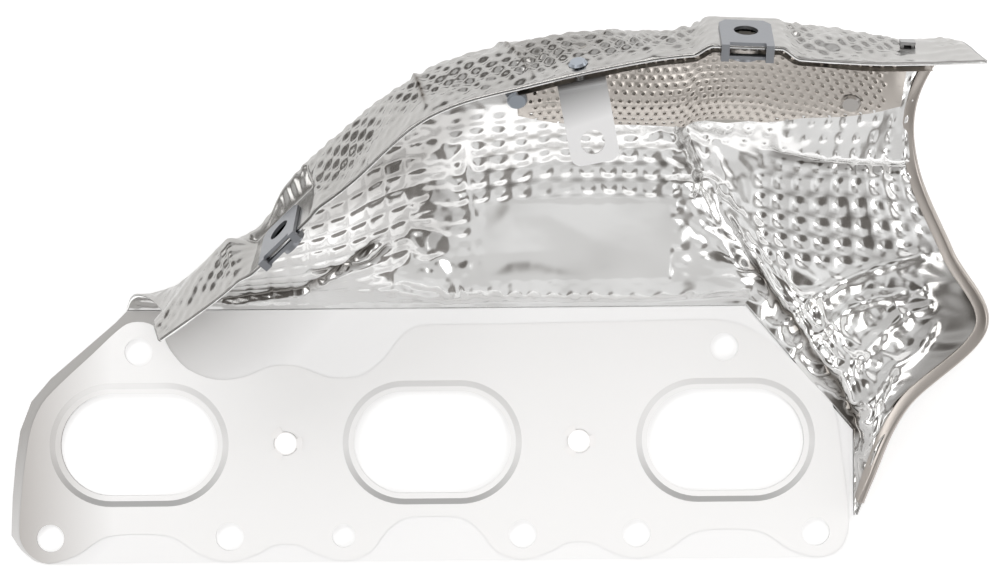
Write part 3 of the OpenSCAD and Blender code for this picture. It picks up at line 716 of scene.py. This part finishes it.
def perforated_liner():
    """A staggered perforated sheet: eight quads round each hole, and a turned-in rim inside."""
    start, stop = np.interp(4.8, US, LIP_RUN), np.interp(10.2, US, LIP_RUN)
    pitch, row = 2.7, 2.35
    cols = int((stop - start) / pitch)
    rows = 26
    verts, faces, hem = [], [], []
    off = [(1, 0), (1, 1), (0, 1), (-1, 1), (-1, 0), (-1, -1), (0, -1), (1, -1)]
    for r in range(rows):
        for c in range(cols):
            ca = start + (c + 0.5 + 0.5 * (r % 2)) * pitch
            cs = 0.6 + (r + 0.5) * row
            base = len(verts)
            u_c = np.interp(ca, LIP_RUN, US)
            plain = u_c > 9.45 or r == 0 or c == 0
            for k, (ox, oy) in enumerate(off):
                x = ca + ox * pitch / 2
                if c == 0 and ox < 0:
                    x = start
                if c == cols - 1 and ox > 0:
                    x = start + (cols + 0.5) * pitch
                verts.append((x, cs + oy * row / 2, 0.0))
            if c == 0:
                hem += [base + 5, base + 4, base + 3]
            for ring, lift in RIM:
                for k in range(8):
                    t = math.pi / 4 * k
                    x, y = ca + ring * math.cos(t), cs + ring * math.sin(t)
                    verts.append((x, y, 0.0 if plain else lift))
            for ring in range(len(RIM)):
                for k in range(8):
                    a, b = base + ring * 8 + k, base + ring * 8 + (k + 1) % 8
                    faces.append((a, b, b + 8, a + 8))
            if plain:
                faces = faces[:-8]
                faces.append(tuple(base + 24 + k for k in range(8)))
    v3 = np.array(verts)
    u = np.interp(v3[:, 0], LIP_RUN, US)
    v = down_from_mouth(u, v3[:, 1])
    low = np.interp(u, LINER_U, LINER_V)
    clamped = v < low
    v = np.where(clamped, low, v)
    p, n = sample(P, u, v), unit(sample(N, u, v))
    wavy = 0.35 * noise(v3[:, 0], v3[:, 1], 17) + 0.15 * noise(v3[:, 0], v3[:, 1], 7)
    wavy = wavy * (1 - sample(SEATED[..., None], u, v)[:, 0])
    q = p + n * (LINER + 0.25 - wavy - np.where(clamped, 0, v3[:, 2]))[:, None]
    base = len(q)
    faces += [(hem[k], hem[k + 1], base + k + 1, base + k) for k in range(len(hem) - 1)]
    q = np.concatenate([q, q[hem] + LINER_HEM * n[hem]])
    clamped = np.concatenate([clamped, clamped[hem]])
    f = [x for x in faces if not clamped[list(x)].all()]
    ob = add_mesh("perforated_liner_sheet", q, f, M_LINER)
    face_outwards(ob, 2e-6)
    return ob


liner = perforated_liner()
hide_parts("perforated_liner")
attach(liner, "gasket")


# ---------- strip folded over the hood's right edge ----------
def edge_strip():
    """Strip of folded section swept along the hood's right edge."""
    vs = np.linspace(0.45, 6.75, 220)
    edge, inside = raw_grid([11.0, 10.85], vs)
    along = unit(np.gradient(edge, axis=0))
    out = edge - inside
    out = unit(out - (out * along).sum(axis=1, keepdims=True) * along)
    n = np.cross(along, out)
    if (n * N[-1, 100]).sum(axis=1).mean() < 0:
        n = -n
    wob = 0.12 * noise(vs * 16, vs * 3, 5)[:, None]
    section = [(-3.0, -0.75), (-3.05, -1.12), (-2.7, -1.2), (-0.2, -1.2), (0.35, -1.0),
               (0.55, -0.4), (0.55, 0.4), (0.35, 0.95), (-0.2, 1.1), (-2.7, 1.1),
               (-3.05, 1.0), (-3.0, 0.7)]
    rows = [edge + out * (e + (wob if e < -2 else 0)) + n * h for e, h in section]
    q = np.stack(rows, axis=1)
    faces = grid_faces(len(vs), len(section))
    m = len(section)
    caps = [tuple(range(m)), tuple(range((len(vs) - 1) * m + m - 1, (len(vs) - 1) * m - 1, -1))]
    ob = add_mesh("edge_strip", q.reshape(-1, 3), [*map(tuple, faces), *caps], M_EDGE)
    face_outwards(ob)
    return ob


strip = edge_strip()
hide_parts("edge_binding")
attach(strip, "gasket")

# ---------- floor, lights, camera ----------
floor_me = bpy.data.meshes.new("floor")
floor_me.from_pydata([(-3, -3, 0), (3, -3, 0), (3, 3, 0), (-3, 3, 0)], [], [(0, 1, 2, 3)])
floor = bpy.data.objects.new("floor", floor_me)
bpy.context.scene.collection.objects.link(floor)
floor_look = bpy.data.materials.new("pale_floor")
floor_look.use_nodes = True
floor_bsdf = floor_look.node_tree.nodes["Principled BSDF"]
floor_bsdf.inputs["Base Color"].default_value = (0.92, 0.92, 0.92, 1)
floor_bsdf.inputs["Roughness"].default_value = 0.9
floor_bsdf.inputs["Emission Color"].default_value = (1, 1, 1, 1)
floor_bsdf.inputs["Emission Strength"].default_value = 0.35
floor_me.materials.append(floor_look)


def area_light(name, at, size, power, towards=(0.02, 0.045, 0.04)):
    """Rectangular lamp aimed at the part's middle."""
    d = bpy.data.lights.new(name, "AREA")
    d.shape, d.size, d.size_y, d.energy = "RECTANGLE", size[0], size[1], power
    ob = bpy.data.objects.new(name, d)
    ob.location = at
    ob.rotation_euler = (Vector(towards) - Vector(at)).to_track_quat("-Z", "Y").to_euler()
    bpy.context.scene.collection.objects.link(ob)
    return ob


area_light("key", (-0.7, 1.3, 1.5), (1.8, 1.1), 13)
area_light("fill", (1.2, -0.8, 1.5), (1.5, 1.1), 8)
area_light("top", (0.05, 0.12, 1.6), (0.35, 0.35), 2.6)
area_light("low_left", (-1.5, -0.5, 0.7), (1.1, 0.6), 6)
area_light("low_right", (1.5, 0.8, 0.6), (0.9, 0.6), 5)

world = bpy.data.worlds.new("studio")
bpy.context.scene.world = world
world.use_nodes = True
wt = world.node_tree
coord = wt.nodes.new("ShaderNodeTexCoord")


def cone_mask(direction, radius, soft):
    """1 inside that cone of the sky and 0 outside it."""
    d = wt.nodes.new("ShaderNodeVectorMath")
    d.operation = "DOT_PRODUCT"
    d.inputs[1].default_value = Vector(direction).normalized()
    wt.links.new(coord.outputs["Generated"], d.inputs[0])
    r = wt.nodes.new("ShaderNodeMapRange")
    r.inputs["From Min"].default_value = math.cos(math.radians(radius + soft))
    r.inputs["From Max"].default_value = math.cos(math.radians(radius))
    wt.links.new(d.outputs["Value"], r.inputs["Value"])
    return r.outputs["Result"]


# Direction, radius and softness in degrees, brightness.
SKY = [((0.0, -0.85, 0.50), 21, 6, 0.75), ((0.0, -0.9, 0.12), 14, 5, 0.85),
       ((-0.22, -0.38, 0.89), 18, 4, 0.14), ((0.5, -0.85, 0.08), 15, 6, 0.34),
       ((-0.89, -0.15, 0.42), 16, 6, 0.3), ((0.95, -0.35, 0.05), 18, 6, 0.4),
       ((0.7, 0.6, 0.5), 14, 5, 0.4), ((-0.3, 0.8, 0.5), 14, 5, 0.25),
       ((-0.1, 0.97, 0.2), 12, 4, 0.15), ((-0.72, 0.66, 0.2), 11, 4, 0.2)]
clouds = wt.nodes.new("ShaderNodeTexNoise")
clouds.inputs["Scale"].default_value = 1.7
clouds.inputs["Detail"].default_value = 1.5
wt.links.new(coord.outputs["Generated"], clouds.inputs["Vector"])
tones_ramp = wt.nodes.new("ShaderNodeValToRGB")
shade = tones_ramp.color_ramp.elements
shade[0].position, shade[0].color = 0.36, (0.32, 0.32, 0.32, 1)
shade[1].position, shade[1].color = 0.62, (1, 1, 1, 1)
for at, grey in ((0.42, 0.55), (0.47, 0.66), (0.50, 0.9)):
    shade.new(at).color = (grey, grey, grey, 1)
wt.links.new(clouds.outputs["Fac"], tones_ramp.inputs["Fac"])
total = tones_ramp.outputs["Color"]
for direction, radius, soft, value in SKY:
    mix = wt.nodes.new("ShaderNodeMix")
    mix.data_type = "FLOAT"
    mix.inputs["B"].default_value = value
    wt.links.new(cone_mask(direction, radius, soft), mix.inputs["Factor"])
    wt.links.new(total, mix.inputs["A"])
    total = mix.outputs["Result"]
ramp = wt.nodes.new("ShaderNodeValToRGB")
ramp.color_ramp.elements[0].color = (0.055, 0.045, 0.037, 1)
ramp.color_ramp.elements[1].color = (1.0, 1.0, 1.0, 1)
ramp.color_ramp.elements.new(0.4).color = (0.32, 0.305, 0.29, 1)
wt.links.new(total, ramp.inputs["Fac"])
wt.links.new(ramp.outputs["Color"], wt.nodes["Background"].inputs["Color"])
wt.nodes["Background"].inputs["Strength"].default_value = 0.95

cam = bpy.data.cameras.new("camera")
cam.lens, cam.sensor_width, cam.clip_start, cam.clip_end = 140.5, 36, 0.05, 20
camera = bpy.data.objects.new("camera", cam)
camera.location = (0.0212, 0.0461, 1.2)
camera.rotation_euler = (0, 0, -0.0089)
bpy.context.scene.collection.objects.link(camera)
bpy.context.scene.camera = camera
bpy.context.scene.view_settings.view_transform = "Standard"
